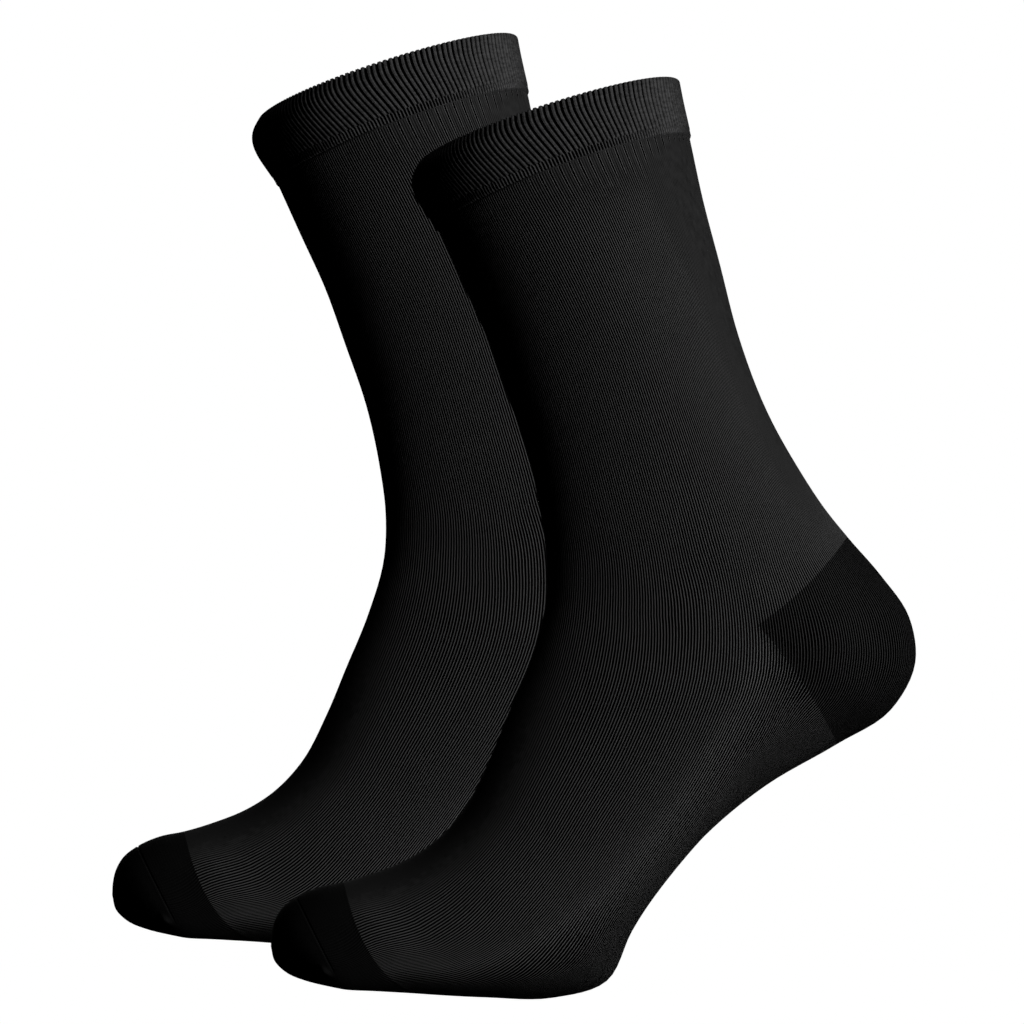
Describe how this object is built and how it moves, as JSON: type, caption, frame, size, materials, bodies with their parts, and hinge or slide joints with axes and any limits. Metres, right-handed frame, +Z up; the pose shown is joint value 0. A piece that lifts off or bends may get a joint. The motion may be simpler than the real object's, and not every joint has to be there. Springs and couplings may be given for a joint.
{
  "type": "pair of socks",
  "caption": "Plain black knitted crew socks, filled out as on feet with raised heels: ribbed cuff, smooth leg and foot, darker heel pocket and toe cap, open mouth.",
  "frame": {"origin": "the middle of the near sock's mouth, where the wearer's leg holds it up", "axes": "+Z is up; the toes of both socks point along -X and the heels along +X; the near sock lies at -Y and the far sock, 130 mm behind it, at +Y"},
  "size_m": [0.2685, 0.2403, 0.3233],
  "materials": {
    "ribbed_knit": "black 1x1 rib knit with elastic, matte",
    "plain_knit": "black fine plain knit, matte",
    "dense_knit": "black denser plain knit of the heel and toe, matte"
  },
  "bodies": {
    "root": {"near_cuff": "ribbed_knit", "near_leg": "plain_knit", "near_heel": "dense_knit", "near_foot": "plain_knit", "near_toe": "dense_knit", "far_cuff": "ribbed_knit", "far_leg": "plain_knit", "far_heel": "dense_knit", "far_foot": "plain_knit", "far_toe": "dense_knit"}
  },
  "joints": []
}
